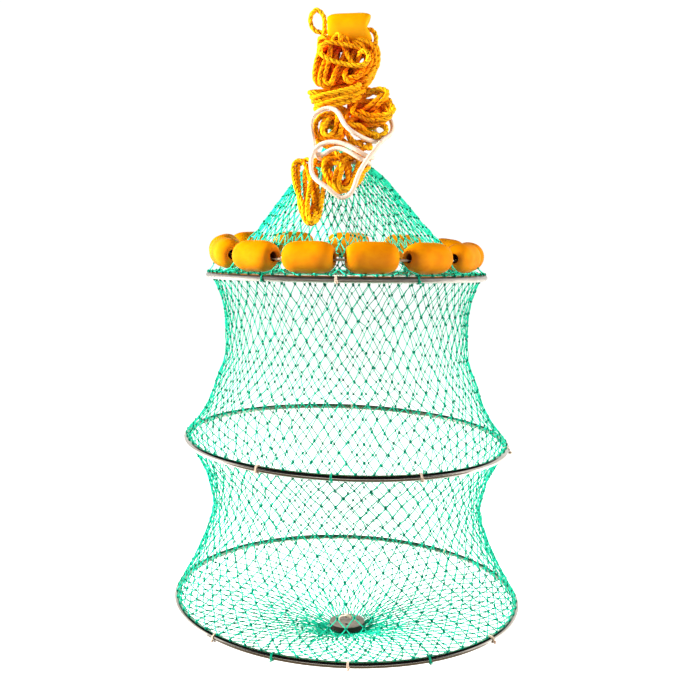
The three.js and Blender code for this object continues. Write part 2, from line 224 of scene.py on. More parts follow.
# colours as they are, so that the paper-white studio stays white
bpy.context.scene.view_settings.view_transform = "Standard"

cameraData = bpy.data.cameras.new("camera")
cameraData.lens = studio["lens"]
cameraData.sensor_width = 36
camera = newObject("camera", cameraData)
camera.location = studio["cameraAt"]
camera.rotation_euler = (radians(studio["cameraPitch"]), 0, 0)
bpy.context.scene.camera = camera

for name in ("key", "fill"):
    values = studio[name]
    data = bpy.data.lights.new(f"{name}Light", "AREA")
    data.shape, data.size, data.energy = "DISK", values["size"], values["power"]
    light = newObject(f"{name}Light", data)
    light.location = values["at"]
    light.rotation_euler = (Vector(values["aim"]) - Vector(values["at"])).to_track_quat("-Z", "Y").to_euler()
    light.visible_glossy = False

sky = bpy.data.worlds.new("studioSky")
sky.use_nodes = True
skyNode = partial(addNode, sky.node_tree)
skyAt = skyNode("ShaderNodeSeparateXYZ", [skyNode("ShaderNodeTexCoord")]).outputs["Z"]
skyHeight = skyNode("ShaderNodeMath", [skyAt, 0.5, 0.5], operation="MULTIPLY_ADD")
skyColour = skyNode("ShaderNodeValToRGB", [skyHeight], stops=studio["sky"])
plug(sky.node_tree.nodes["Background"], {"Color": skyColour, "Strength": studio["skyStrength"]})
bpy.context.scene.world = sky


def studioPlane(name, material):
    plane = meshPiece(name, studio[name], [(0, 1, 2, 3)], smooth=False)
    plane.data.materials.append(material)
    return plane


def cardFinish():
    # a matt card that glows in graded tones and shows only in reflections: a painted reflection, darkest
    # under the front of the cage
    material, add, shader = newMaterial("gradedCard", Base_Color=(0, 0, 0, 1), Roughness=1.0,
                                        Emission_Strength=studio["tableGlow"])
    at = add("ShaderNodeSeparateXYZ", [add("ShaderNodeTexCoord").outputs["Object"]]).outputs["Y"]
    near, far = studio["cardSpan"]
    fall = add("ShaderNodeMapRange", {"Value": at, "From Min": near, "From Max": far})
    plug(shader, {"Emission Color": add("ShaderNodeValToRGB", [fall], stops=studio["cardTones"])})
    return material


# a pale table lit from behind
pale = linear(studio["table"])
floor = studioPlane("floor", newMaterial("litTable", Base_Color=pale, Roughness=0.9, Emission_Color=pale,
                                         Emission_Strength=studio["tableGlow"])[0])
floor.visible_diffuse = False  # or it would lift the shaded undersides
# a dark card laid on the table in front, and the dark end of the room, which only polished things show
card = studioPlane("reflectedCard", cardFinish())
roomEnd = studioPlane("roomEnd", newMaterial("darkRoom", Base_Color=linear(studio["room"]), Roughness=1.0,
                                             Specular_IOR_Level=0.0)[0])
for piece in (card, roomEnd):
    piece.visible_camera = piece.visible_diffuse = piece.visible_shadow = False
print("studio ready")


def newTree(name, **sockets):
    # the tree, a way to add nodes to it, what it is given, and its end
    tree = bpy.data.node_groups.new(name, "GeometryNodeTree")
    for label, kind in (("Geometry", "Geometry"), *sockets.items()):
        tree.interface.new_socket(label, in_out="INPUT", socket_type=f"NodeSocket{kind}")
    tree.interface.new_socket("Geometry", in_out="OUTPUT", socket_type="NodeSocketGeometry")
    start, end = tree.nodes.new("NodeGroupInput"), tree.nodes.new("NodeGroupOutput")
    return tree, partial(addNode, tree), start.outputs, end


def endTree(add, geometry, given, end):
    # the dressed shape is made real, given its finish and handed on
    real = add("GeometryNodeRealizeInstances", {"Geometry": geometry})
    plug(end, [add("GeometryNodeSetMaterial", {"Geometry": real, "Material": given["finish"]})])


def evaluatedMesh(source):
    graph = bpy.context.evaluated_depsgraph_get()
    return bpy.data.meshes.new_from_object(source.evaluated_get(graph))


def dressed(piece, tree, **values):
    # runs the tree on the piece and keeps the result as a plain mesh
    modifier = piece.modifiers.new(tree.name, "NODES")
    modifier.node_group = tree
    for item in tree.interface.items_tree:
        if item.in_out == "INPUT" and item.name in values:
            modifier[item.identifier] = values[item.name]
    mesh = evaluatedMesh(piece)
    piece.modifiers.remove(modifier)
    old, piece.data = piece.data, mesh
    bpy.data.meshes.remove(old)
    mesh.name = piece.name
    mesh.polygons.foreach_set("use_smooth", [True] * len(mesh.polygons))
    return piece


def laidRopeTree():
    # strands laid round each other along the piece's edges: one section, turned as it goes
    tree, add, given, end = newTree("laidRope", diameter="Float", strands="Int", layLength="Float",
                                    grooveDepth="Float", sectionPoints="Int", finish="Material")
    line = add("GeometryNodeMeshToCurve", {"Mesh": given["Geometry"]})
    place = add("GeometryNodeSplineParameter").outputs["Length"]
    turned = add("ShaderNodeMath", [place, given["layLength"]], operation="DIVIDE")
    angle = add("ShaderNodeMath", [turned, 2 * pi], operation="MULTIPLY")
    twisted = add("GeometryNodeSetCurveTilt", {"Curve": line, "Tilt": angle})
    twisted = add("GeometryNodeStoreNamedAttribute", {"Geometry": twisted, "Name": "along", "Value": place})
    # the section, a ring whose radius dips between the strands
    around = add("GeometryNodeSplineParameter")
    lobes = add("ShaderNodeMath", [around, given["strands"]], operation="MULTIPLY")
    share = add("ShaderNodeMath", [lobes], operation="FRACT")
    strand = add("ShaderNodeMath", [lobes], operation="FLOOR")
    across = add("ShaderNodeMath", [share, 2.0, -1.0], operation="MULTIPLY_ADD")
    away = add("ShaderNodeMath", [across], operation="ABSOLUTE")
    curve = add("ShaderNodeMath", [away, 2.4], operation="POWER")
    dip = add("ShaderNodeMath", [curve, given["grooveDepth"]], operation="MULTIPLY")
    height = add("ShaderNodeMath", [1.0, dip], operation="SUBTRACT")
    half = add("ShaderNodeMath", [given["diameter"], 0.5], operation="MULTIPLY")
    radius = add("ShaderNodeMath", [height, half], operation="MULTIPLY")
    at = add("GeometryNodeInputPosition")
    pushed = add("ShaderNodeVectorMath", {0: at, "Scale": radius}, operation="SCALE")
    ring = add("GeometryNodeCurvePrimitiveCircle", {"Resolution": given["sectionPoints"], "Radius": 1.0})
    section = add("GeometryNodeSetPosition", {"Geometry": ring, "Position": pushed})
    for name, value in (("across", across), ("strand", strand)):
        section = add("GeometryNodeStoreNamedAttribute", {"Geometry": section, "Name": name, "Value": value})
    tube = add("GeometryNodeCurveToMesh", {"Curve": twisted, "Profile Curve": section, "Fill Caps": True})
    endTree(add, tube, given, end)
    return tree


ropeTree = laidRopeTree()


def laid(piece, diameter, lay, finish):
    # the piece's line as rope; its sizes are in millimetres
    strands, layLength, grooveDepth, sectionPoints = lay
    return dressed(piece, ropeTree, diameter=diameter / 1000, strands=strands, layLength=layLength / 1000,
                   grooveDepth=grooveDepth, sectionPoints=sectionPoints, finish=finish)


rope = {
    "diameter": 4.8,
    # strands, how far one goes to come round, depth of the grooves in the radius, points round the section
    "lay": (3, 17.0, 0.34, 18),
    "step": 3.6,  # between the points that settle
    "fineStep": 1.2,
    "seed": 3,
    "loopPoints": 40,
    "roundness": 2.2,  # of the ends of a long turn
    # how the turns of a winding stray: in size, in place and lean, and from their layer
    "unevenness": 0.05,
    "stray": 2.2,
    "fullSpan": 16,  # a narrower winding strays less sideways
    "lean": 0.12,
    "layerStray": 0.6,
    "mostStray": 1.7,
    # how two windings join: the places tried, and what a bend and a gap below the least one cost
    "starts": 24,
    "bendCost": 16,
    "closeCost": 30,
    "leastGap": 12,
    # how near another turn hides this one, counted at every fourth point
    "crowdReach": 11,
    "crowdEvery": 4,
    "crowdSkip": 12,
    "crowdLeast": 4,
    # where the rope leaves the neck, the height and half width of the foot held there, and the lead up
    # through the neck into the hank
    "exit": (-13, 0, 141),
    "foot": (9, 1.5),
    "lead": [(-13, 0, 130), (-13, 0, 141), (-13, 0.5, 155), (-14, 0, 172), (-14, 2.5, 188)],
    # out of the last winding, towards the eye
    "riser": [(-18, 0, 196)],
    # the eye beside the handle float, and the run through its bore
    "eye": [(-21.5, -5.5, 214), (-21.6, -6.2, 227), (-21.3, -5, 236), (-21.2, -2.2, 244),
            (-23.6, -0.2, 251.2), (-28.4, 0, 254.8), (-33.2, 0, 251.4), (-35, 0, 245), (-33, 0, 238.4),
            (-28.4, 0, 234.2), (-22, 0, 234.2)],
    "handle": [(-14, 0, 235.4), (3, 0, 236), (20, 0, 236.6), (25.8, -1.6, 234.6), (28, -4, 229),
               (27.4, -6, 221.5), (24, -7.5, 213)],
}

# The windings, in the order that the rope runs through them: the middle of each, its half sizes, its turn
# about the line of sight, its slope (the foot forwards), its swing about the upright, how many turns it has,
# the sizes of its first and last turn, and where these lie along its own axis.
windings = [
    # x, y, level, span, height, turn, slope, swing, turns, first, last, layerFrom, layerTo
    (3, 1, 204, 25, 22, 0, 8, 0, 1.5, 0.95, 1.0, 4, 3),
    (15, -2, 203, 10, 22, 22, 8, 0, 2.0, 1.0, 1.0, 2, -1),
    (-12, -2, 205, 10, 24, 12, 8, 0, 2.5, 1.0, 0.95, 2, -3),
    (8, -9, 206, 24, 24, -14, 8, 0, 3.5, 1.0, 0.74, 2, -4),
    (11, -14, 202, 7, 19, 34, 8, 0, 1.5, 1.0, 0.9, 1, -1),
    (-19, -9, 206, 8, 27, 10, 8, 0, 2.5, 0.95, 1.0, 3, -2),
    (-12, -15, 204, 7, 26, 20, 8, 0, 2.5, 1.0, 1.0, 2, -1),
    (-3, -20, 212, 24, 9.6, 14, 12, 0, 1.5, 1.0, 1.0, 1, -1),
    (-9, -20, 172, 26, 14, -12, 76, 0, 4.5, 0.9, 1.0, 8, -6),
    (21, -22, 168, 20, 9.2, -22, 28, -12, 2.5, 0.95, 1.0, 4, -2),
    (20, -25, 156, 14, 6.4, -6, 28, -12, 1.5, 1.0, 1.0, 1, 0),
    (23, -28, 154, 20, 9.2, 4, 28, -12, 3.0, 1.0, 0.95, 3, -4),
    (20, -31, 141, 19, 9.2, 24, 30, -10, 2.5, 1.0, 0.95, 3, -3),
    (8, -42, 130, 18, 8, 36, 34, 0, 2.0, 0.95, 1.0, 2, -1),
    (-13, -33, 142, 8, 21, 20, 34, 0, 1.5, 1.0, 1.0, 3, 0),
    (-16, -40, 139, 14, 18, -4, 34, 0, 2.5, 1.0, 0.8, 2, -2),
    (-15, -43, 139, 6.4, 15, 26, 34, 0, 1.5, 1.0, 1.0, 0, -2),
    (4, -56, 100, 9.6, 23, 28, 39, 0, 2.5, 1.0, 1.0, 3, 0),
    (-9, -59, 98, 9.0, 23, -18, 39, 0, 2.5, 1.0, 0.95, 2, -1),
    (3, -64, 96, 8, 22, 22, 39, 0, 2.0, 1.0, 1.0, 1, -1),
    (-38, -63, 83, 6.4, 40, -12, 40, 0, 1.5, 1.0, 1.0, 3, 1),
    (-27, -68, 81, 6.4, 40, 18, 40, 0, 1.5, 1.0, 1.0, 1, -1),
    (-33, -62, 84, 4.8, 32, 2, 40, 0, 1.5, 1.0, 1.0, 4, 3),
    (-16, -27, 138, 6.4, 12, 20, 34, 0, 1.5, 1.0, 0.8, 4, 3),
    (20, -17, 152, 15, 12, 0, 28, -12, 1.5, 1.0, 0.7, 4, 3),
    (28, -16, 166, 11, 4.8, -22, 28, -12, 1.5, 1.0, 1.0, 4, 3),
    (2, 3, 197, 16, 10, 0, 8, 0, 2.5, 1.0, 0.6, 3, 3),
]


def loopAxes(turn, slope, swing):
    t, s, w = (radians(v) for v in (turn, slope, swing))
    span = np.array([cos(t), 0, -sin(t)])
    height = np.array([cos(s) * sin(t), sin(s), cos(s) * cos(t)])
    through = np.array([-sin(s) * sin(t), cos(s), -sin(s) * cos(t)])
    spin = np.array([[cos(w), -sin(w), 0], [sin(w), cos(w), 0], [0, 0, 1]])
    return [spin @ v for v in (span, height, through)]


def turnShape(across, up, share):
    # a round-ended loop, by the share of the way round it
    short, long = np.minimum(across, up), np.maximum(across, up)
    straight = long - short
    angle = 2 * pi * share
    along, aside = short * np.cos(angle), short * np.sin(angle)
    reach = straight * np.tanh(rope["roundness"] * np.cos(angle)) / tanh(rope["roundness"])
    along = along + reach
    return np.where(across >= up, along, aside), np.where(across >= up, aside, along)


def winding(dice, row, start, sense):
    x, y, level, span, height, turn, slope, swing, turns, first, last, layerFrom, layerTo = row
    across, up, through = loopAxes(turn, slope, swing)
    share = np.linspace(0, 1, int(rope["loopPoints"] * turns))
    stray = dice.normal(0, 1, (int(turns) + 3, 5)).clip(-rope["mostStray"], rope["mostStray"])
    loop = np.floor(share * turns).astype(int)
    blend = (share * turns - loop)[:, None]
    drift = stray[loop] * (1 - blend) + stray[loop + 1] * blend
    size = first + (last - first) * share + rope["unevenness"] * drift[:, 0]
    a, b = turnShape(span * size, height * size, start + sense * turns * share)
    lean = rope["lean"] * drift[:, 4]
    a, b = a * np.cos(lean) - b * np.sin(lean), a * np.sin(lean) + b * np.cos(lean)
    a = a + rope["stray"] * drift[:, 1] * min(1, span / rope["fullSpan"])
    b = b + rope["stray"] * drift[:, 2]
    layer = layerFrom + (layerTo - layerFrom) * share + rope["layerStray"] * drift[:, 3]
    return np.array([x, y, level]) + a[:, None] * across + b[:, None] * up + layer[:, None] * through


def looseRoute(dice):
    # every winding in turn: each starts where the rope comes from the last one with the least bend
    points = np.array(rope["lead"], float)
    for row in windings:
        seed = dice.integers(1 << 30)
        heading = points[-1] - points[-2]
        heading = heading / np.linalg.norm(heading)
        best = None
        for sense in (1, -1):
            for start in np.arange(0, 1, 1 / rope["starts"]):
                trial = winding(np.random.default_rng(seed), row, start, sense)
                away = trial[4] - trial[2]
                joint = trial[2] - points[-1]
                reach = np.linalg.norm(joint)
                bend = 2 - (heading @ joint + away @ joint / np.linalg.norm(away)) / max(reach, 1e-6)
                cost = reach + rope["bendCost"] * bend + rope["closeCost"] * max(0, rope["leastGap"] - reach)
                if best is None or cost < best[0]:
                    best = (cost, trial[2:-2:3])
        points = np.vstack([points, best[1]])
    return smoothRoute(np.vstack([points, rope["riser"], rope["eye"], rope["handle"]]), rope["step"])


settling = {
    "rounds": 240,
    "relist": 6,  # rounds between two listings of what is near
    "apart": 0.96,  # of the rope's thickness
    "watch": 2.5,  # further out than that, a point still counts as near
    "along": 3,  # points along the rope that may lie close
    "tieWatch": 7.5,
    "tieApart": 4.6,
    "push": 0.9,
    "straighten": 0.22,
    "homing": 0.012,
    # the cone of the netting, radius by level, and the room above it
    "coneLevels": [0, 4, 20, 35, 67, 99, 110.5, 121, 132, 141],
    "coneRadii": [137, 137, 104, 90, 65, 40, 26, 14, 6.4, 4.5],
    "coneRoom": 5.2,
    # what the handle float takes up: its middle, the fall to the right, its radius, half length and room
    "floatAt": (3, 236),
    "floatFall": 0.07,
    "floatRadius": 15,
    "floatReach": 24,
    "floatRoom": 2.7,
}


def settledRoute(points, held, tie):
    # the turns push each other apart, keep their length and stay near their places, clear of the cone,
    # the handle float and the tie
    room = settling["apart"] * rope["diameter"]
    home, points = points.copy(), points.copy()
    free = ~held
    rest = np.linalg.norm(np.diff(points, axis=0), axis=1)
    index = np.arange(len(points))
    for count in range(settling["rounds"]):
        if count % settling["relist"] == 0:
            apart = np.linalg.norm(points[:, None] - points[None], axis=2)
            between = index[None] - index[:, None]
            near = np.argwhere((apart < room + settling["watch"]) & (between > settling["along"]))
            tieApart = np.linalg.norm(points[:, None] - tie[None], axis=2)
            nearTie = np.argwhere(tieApart < settling["tieWatch"])
        move, hits = np.zeros_like(points), np.zeros(len(points))
        a, b = near.T
        gap = points[a] - points[b]
        far = np.maximum(np.linalg.norm(gap, axis=1), 1e-6)
        push = np.clip(room - far, 0, None)[:, None] * gap / far[:, None] * 0.5
        for at, way in ((a, push), (b, -push)):
            np.add.at(move, at, way)
            np.add.at(hits, at, far < room)
        c, t = nearTie.T
        gap = points[c] - tie[t]
        far = np.maximum(np.linalg.norm(gap, axis=1), 1e-6)
        np.add.at(move, c, np.clip(settling["tieApart"] - far, 0, None)[:, None] * gap / far[:, None])
        np.add.at(hits, c, far < settling["tieApart"])
        move /= np.maximum(hits, 1)[:, None] ** 0.6
        bend = np.zeros_like(points)
        bend[1:-1] = (points[2:] + points[:-2]) / 2 - points[1:-1]
        pull = settling["push"] * move + settling["straighten"] * bend + settling["homing"] * (home - points)
        points[free] += pull[free]
        for odd in (0, 1, 0, 1):
            i = np.arange(odd, len(points) - 1, 2)
            step = points[i + 1] - points[i]
            long = np.linalg.norm(step, axis=1)
            fix = (0.5 * (long - rest[i]) / np.maximum(long, 1e-6))[:, None] * step
            points[i] += fix * free[i][:, None]
            points[i + 1] -= fix * free[i + 1][:, None]
        # off the cone, forwards and up
        out = np.hypot(points[:, 0] - np.interp(points[:, 2], leans[:, 0], leans[:, 3]), points[:, 1])
        cone = np.interp(points[:, 2], settling["coneLevels"], settling["coneRadii"])
        short = np.clip(cone + settling["coneRoom"] - out, 0, None) * 0.5
        short = short * (points[:, 2] < settling["coneLevels"][-1]) * free
        points[:, 1] -= short
        points[:, 2] += short
        # and out of the handle float
        x, z = settling["floatAt"]
        across, above = points[:, 1], points[:, 2] - z + settling["floatFall"] * (points[:, 0] - x)
        away = np.maximum(np.hypot(across, above), 1e-6)
        deep = np.clip(settling["floatRadius"] + settling["floatRoom"] - away, 0, None)
        deep = deep * (np.abs(points[:, 0] - x) < settling["floatReach"]) * free
        points[:, 1] += deep * across / away
        points[:, 2] += deep * above / away
    return points


# the white tie over the front of the hank, both ends bare
tie = {
    "diameter": 4.2,
    "lay": (8, 30.0, 0.03, 16),
    "step": 2.0,
    "route": [
        (-27, -59.8, 112.6), (-20.5, -62.7, 112.9), (-14.2, -63.1, 116.6), (-7.2, -64.6, 117.9),
        (-0.6, -67.2, 115.8), (5.4, -69.7, 112.4), (11.7, -70.4, 108.6), (17.5, -67.3, 105.7),
        (21.1, -61.1, 104.3), (20.9, -53.9, 104.7), (16.2, -48.4, 105.7), (9.7, -45.2, 106.7),
        (2.6, -43.3, 107.4), (-4.7, -42.6, 107.6), (-12.1, -43.1, 107.4), (-19.1, -45.3, 107.9),
        (-25.1, -48.5, 110.5), (-28.7, -51.6, 116), (-30, -51.9, 123.1), (-31.4, -49.7, 130),
        (-32.7, -46.5, 136.5), (-32.7, -43.4, 143.2), (-30.2, -41.4, 149.7), (-24.7, -40.8, 154.6),
        (-17.8, -41, 156.8), (-11, -42.9, 155.1), (-6.8, -46.4, 150.3), (-4.1, -50.3, 144.6),
        (-0.7, -53.6, 139.1), (4.7, -55, 134.2), (10.8, -53.3, 130.6), (16.8, -49.8, 128.1),
        (22.6, -45.7, 126.4), (27.6, -40.3, 126.2), (30.2, -33.7, 127.8), (30, -27.1, 131),
        (28.4, -21.1, 135), (26.8, -15.9, 140), (26.3, -11.5, 145.8), (28.6, -8.2, 151.9),
        (34.8, -7.1, 155), (40.7, -9.7, 151.9), (43.1, -14.4, 146.8), (43.6, -19.9, 141.9),
        (42.7, -25.7, 137.5), (40.7, -31.7, 133.7), (37.8, -37.9, 130.9), (34.6, -44, 128.3),
        (32, -50.2, 125.3), (29.8, -56.5, 122.1), (27.6, -62.7, 118.7), (25, -68.6, 115.2),
        (21.8, -73.7, 111), (18.2, -77.8, 106), (14.6, -81, 100.4), (11.3, -83.6, 94.4), (8.8, -85.7, 87.8),
        (6.4, -87.1, 80.9), (2.3, -87.1, 74.9), (-4.4, -86.5, 72.5), (-10.8, -86.5, 75.8),
        (-16.3, -86.7, 80.7), (-22.3, -85.6, 84.9), (-27.5, -82.7, 89.2), (-30.6, -78.4, 94.3),
        (-31.9, -73.5, 99.6), (-32.1, -68.7, 105.2), (-31.2, -64.4, 111.1), (-28.4, -61.6, 117.2),
        (-22.8, -61.9, 121.7), (-16, -63.9, 123.4), (-8.8, -65.6, 123.1), (-1.9, -67.2, 121.3),
        (4.6, -69.2, 118.3), (10.9, -70.2, 114.6), (16.9, -67.9, 111.3), (21.2, -62.2, 109.8),
        (24, -55.4, 110.2),
    ],
}

tieLine = smoothRoute(tie["route"], tie["step"])
loose = looseRoute(np.random.default_rng(rope["seed"]))
# the lead's upright foot, the eye and the run through the handle float stay where they are
x, y, z = (loose - rope["exit"]).T
footHeight, footHalf = rope["foot"]
heldPoints = (z < footHeight) & (np.abs(x) < footHalf) & (np.abs(y) < footHalf)
tailLength = routeLength(smoothRoute(rope["eye"] + rope["handle"], rope["step"]))
heldPoints[-int(tailLength / rope["step"]):] = True
ropeLine = smoothRoute(settledRoute(loose, heldPoints, tieLine)[::2], rope["fineStep"])
print(f"rope settled: {routeLength(ropeLine) / 1000:.2f} m")


def pathPiece(name, points):
    # a bare line of points, ready for a tree that dresses it
    return meshPiece(name, inFrame(points), edges=chainEdges(len(points)))


def laidPolyethylene():
    # laid polyethylene rope: waxy yellow on the outer turns, with painted shade turning it deep orange where
    # it lies buried among other turns, the grooves between its strands painted red-brown as shade and broken
    # by dark flecks of a tracer yarn
    material, add, shader = newMaterial("laidPolyethylene", Roughness=0.5, Specular_IOR_Level=0.12)
    along, across, strand, buried = (add("ShaderNodeAttribute", attribute_name=name).outputs["Fac"]
                                     for name in ("along", "across", "strand", "buried"))
    # painted shade: the rope's yellow turns deep orange the deeper the point lies among other turns
    dyeAndShade = add("ShaderNodeValToRGB", [buried], stops=[(0.1, "#ffc214"), (1.0, "#e64400"), (0.55, "#ff9c04")])
    # painted shade in the grooves: red-brown towards the edges of each strand
    edge = add("ShaderNodeMath", [across], operation="ABSOLUTE")
    grooveShade = add("ShaderNodeMapRange", {"Value": edge, "From Min": 0.7, "From Max": 1.0, "To Max": 0.7},
                 interpolation_type="SMOOTHSTEP")
    tone = add("ShaderNodeMix", {0: grooveShade, 6: dyeAndShade, 7: linear("#cc4200")}, data_type="RGBA").outputs[2]
    # one unit of the fleck pattern is 2.4 mm of rope
    place = add("ShaderNodeMath", [along, 420.0], operation="MULTIPLY")
    apart = add("ShaderNodeMath", [strand, 13.7], operation="MULTIPLY")
    spread, threads = (add("ShaderNodeMath", [across, times], operation="MULTIPLY") for times in (1.3, 9.0))
    grid, fibre = (add("ShaderNodeCombineXYZ", [place, apart, last]) for last in (spread, threads))
    spots = add("ShaderNodeTexNoise", {"Vector": grid, "Scale": 1.0, "Detail": 1.0})
    fleck = add("ShaderNodeMapRange", {"Value": spots, "From Min": 0.6, "From Max": 0.63, "To Max": 0.85},
                interpolation_type="SMOOTHSTEP")
    tone = add("ShaderNodeMix", {0: fleck, 6: tone, 7: linear("#7c1c00")}, data_type="RGBA").outputs[2]
    ridges = add("ShaderNodeTexNoise", {"Vector": fibre, "Scale": 1.2, "Detail": 2.0})
    bump = add("ShaderNodeBump", {"Height": ridges, "Strength": 0.5, "Distance": 0.0004})
    plug(shader, {"Base Color": tone, "Normal": bump})
    return material


def braidedPolyester(name, dark, light):
    # braided polyester cord: matt ivory, the plaits just showing as a fine chevron
    material, add, shader = newMaterial(name, Roughness=0.75)
    along, across = (add("ShaderNodeAttribute", attribute_name=part).outputs["Fac"]
                     for part in ("along", "across"))
    place = add("ShaderNodeMath", [along, 2600.0], operation="MULTIPLY")
    slant = add("ShaderNodeMath", [across, 1.6, place], operation="MULTIPLY_ADD")
    wave = add("ShaderNodeMath", [slant], operation="SINE")
    at = add("ShaderNodeTexCoord").outputs["Object"]
    tone = clouded(add, at, 160.0, 3.0, dark, light)[1]
    bump = add("ShaderNodeBump", {"Height": wave, "Strength": 0.25, "Distance": 0.0003})
    plug(shader, {"Base Color": tone, "Normal": bump})
    return material


def buriedShadeShare(line):
    # how deep each point lies, by how many others are within reach of it, its own neighbours left out: the
    # share of painted shade
    every, skip, least = rope["crowdEvery"], rope["crowdSkip"], rope["crowdLeast"]
    thinned = line[::every]
    others = np.linalg.norm(line[:, None] - thinned[None], axis=2) < rope["crowdReach"]
    others &= np.abs(np.arange(len(line))[:, None] - every * np.arange(len(thinned))[None]) > skip
    crowd = others.sum(axis=1)
    return np.clip((crowd - least) / (np.percentile(crowd, 97) - least), 0, 1)


ropePiece = pathPiece("rope", ropeLine)
setAttributes(ropePiece, buried=buriedShadeShare(ropeLine))
laid(ropePiece, rope["diameter"], rope["lay"], laidPolyethylene())
finishPiece(ropePiece, "rope", "rope_hank", "rope_lead")

cordMaterial = braidedPolyester("braidedPolyester", "#e6c8ae", "#f4dfca")
tiePiece = laid(pathPiece("tieCord", tieLine), tie["diameter"], tie["lay"], cordMaterial)
finishPiece(tiePiece, "white_cord", "tie_cord")
print(f"rope and tie laid: {len(ropePiece.data.polygons)} faces")


hoops = {
    # radius and level of each
    "top": (135.0, 0.0),
    "middle": (159.5, -162.0),
    "bottom": (172.0, -323.0),
    "rod": 6.0,
    "steps": 144,
    "sides": 16,
}
hoopNames = ("top", "middle", "bottom")


def drawnStainless():
    # polished stainless rod: a hard dark band from above over warm grey, with fine drawing lines along it
    material, add, shader = newMaterial("drawnStainless", Metallic=1.0, Roughness=0.1)
    at = add("ShaderNodeTexCoord").outputs["Object"]
    stretch = add("ShaderNodeMapping", {"Vector": at, "Scale": (60, 60, 1400)})
    lines, tone = clouded(add, stretch, 1.0, 3.0, "#bbb2a6", "#d6cec3")
    gloss = add("ShaderNodeMapRange", {"Value": lines, "To Min": 0.07, "To Max": 0.15})
    # the top hoop, handled most, is scuffed dull
    level = add("ShaderNodeSeparateXYZ", [at]).outputs["Z"]
    scuff = add("ShaderNodeMapRange", {"Value": level, "From Min": -0.3, "From Max": -0.27, "To Max": 0.3})
    plug(shader, {"Roughness": add("ShaderNodeMath", [gloss, scuff], operation="ADD"), "Base Color": tone})
    return material


def hoopPiece(name, finish):
    radius, level = hoops[name]
    steps, sides, half = hoops["steps"], hoops["sides"], hoops["rod"] / 2
    around = np.linspace(0, 360, steps, endpoint=False)[:, None]
    section = np.linspace(0, 2 * pi, sides, endpoint=False)[None]
    points = hangingPoint(radius + half * np.cos(section), around, level + half * np.sin(section))
    piece = meshPiece(f"{name}Hoop", points.reshape(-1, 3), bandFaces(steps, sides))
    return finishPiece(piece, "stainless_rod", f"hoop_{name}", material=finish)


floats = {
    "length": 46.0,
    "bore": 7.0,
    "sides": 40,
    # from the bore out to the waist: radius, and how far along the half length; a barrel whose ends round
    # over without an edge
    "profile": [(3.5, 0.0), (3.6, 0.6), (3.9, 0.9), (4.4, 0.97), (5.0, 0.995), (6.0, 1.0), (7.4, 0.985),
                (9.0, 0.95), (10.5, 0.89), (11.7, 0.81), (12.7, 0.71), (13.4, 0.6), (13.8, 0.49),
                (13.95, 0.38), (14.0, 0.25), (14.0, 0.0)],
    "cordRadius": 124.5,
    "cordLevel": 16.5,
    "cordDiameter": 2.5,
    "cordLay": (8, 20.0, 0.05, 16),
    "cordGap": 0.3,  # between the cord and the bottom of a bore
    "cordBend": 0.055,  # the share of a float's span over which the cord turns at the netting
    "cordCut": 0.006,  # and how much of the corner it cuts
    "seed": 7,
}
cordCorners = hangingPoint(floats["cordRadius"], gapsRound, floats["cordLevel"])


def mouldedFoam(name, dark, light):
    # closed-cell EVA foam, moulded: a soft satin skin with faint pores, a little deeper where the dye pooled,
    # and painted shade, dark red-brown, inside the bore
    material, add, shader = newMaterial(name, Roughness=0.6, Specular_IOR_Level=0.12)
    at = add("ShaderNodeTexCoord").outputs["Object"]
    tone = clouded(add, at, 90.0, 3.0, dark, light)[1]
    own = add("ShaderNodeAttribute", attribute_name="own").outputs["Vector"]
    off = add("ShaderNodeVectorMath", [own, (0, 1, 1)], operation="MULTIPLY")
    radius = add("ShaderNodeVectorMath", [off], operation="LENGTH").outputs["Value"]
    # painted shade inside the bore: dark red-brown within its radius
    bore = add("ShaderNodeMapRange", {"Value": radius, "From Min": 0.0037, "From Max": 0.0047, "To Min": 1.0,
                                      "To Max": 0.0}, interpolation_type="SMOOTHSTEP")
    shadedSkin = add("ShaderNodeMix", {0: bore, 6: tone, 7: linear("#4a1604")}, data_type="RGBA").outputs[2]
    pores = add("ShaderNodeTexVoronoi", {"Vector": at, "Scale": 900.0})
    bump = add("ShaderNodeBump", {"Height": pores, "Strength": 0.12, "Distance": 0.0004})
    plug(shader, {"Base Color": shadedSkin, "Normal": bump})
    return material


def barrelForm(name, values):
    # one foam barrel lying along X, with the bore through it; its own coordinates are kept for the finish
    half = [(r, s * values["length"] / 2) for r, s in values["profile"]]
    loop = half + [(r, -x) for r, x in half[-2:0:-1]]
    turn = np.linspace(0, 2 * pi, values["sides"], endpoint=False)
    points = np.array([(x, r * cos(t), r * sin(t)) for r, x in loop for t in turn]) / 1000
    form = meshPiece(name, points, bandFaces(len(loop), values["sides"]))
    setAttributes(form, own=points)
    return form


def setOut(add, given, **more):
    # the form on every point, turned as the point's attribute says
    form = add("GeometryNodeObjectInfo", {"Object": given["form"]}).outputs["Geometry"]
    turn = add("GeometryNodeInputNamedAttribute", {"Name": "turn"}, data_type="FLOAT_VECTOR")
    return add("GeometryNodeInstanceOnPoints",
               {"Points": given["Geometry"], "Instance": form, "Rotation": turn, **more})


def copiesTree():
    tree, add, given, end = newTree("strungCopies", form="Object", finish="Material")
    endTree(add, setOut(add, given), given, end)
    return tree


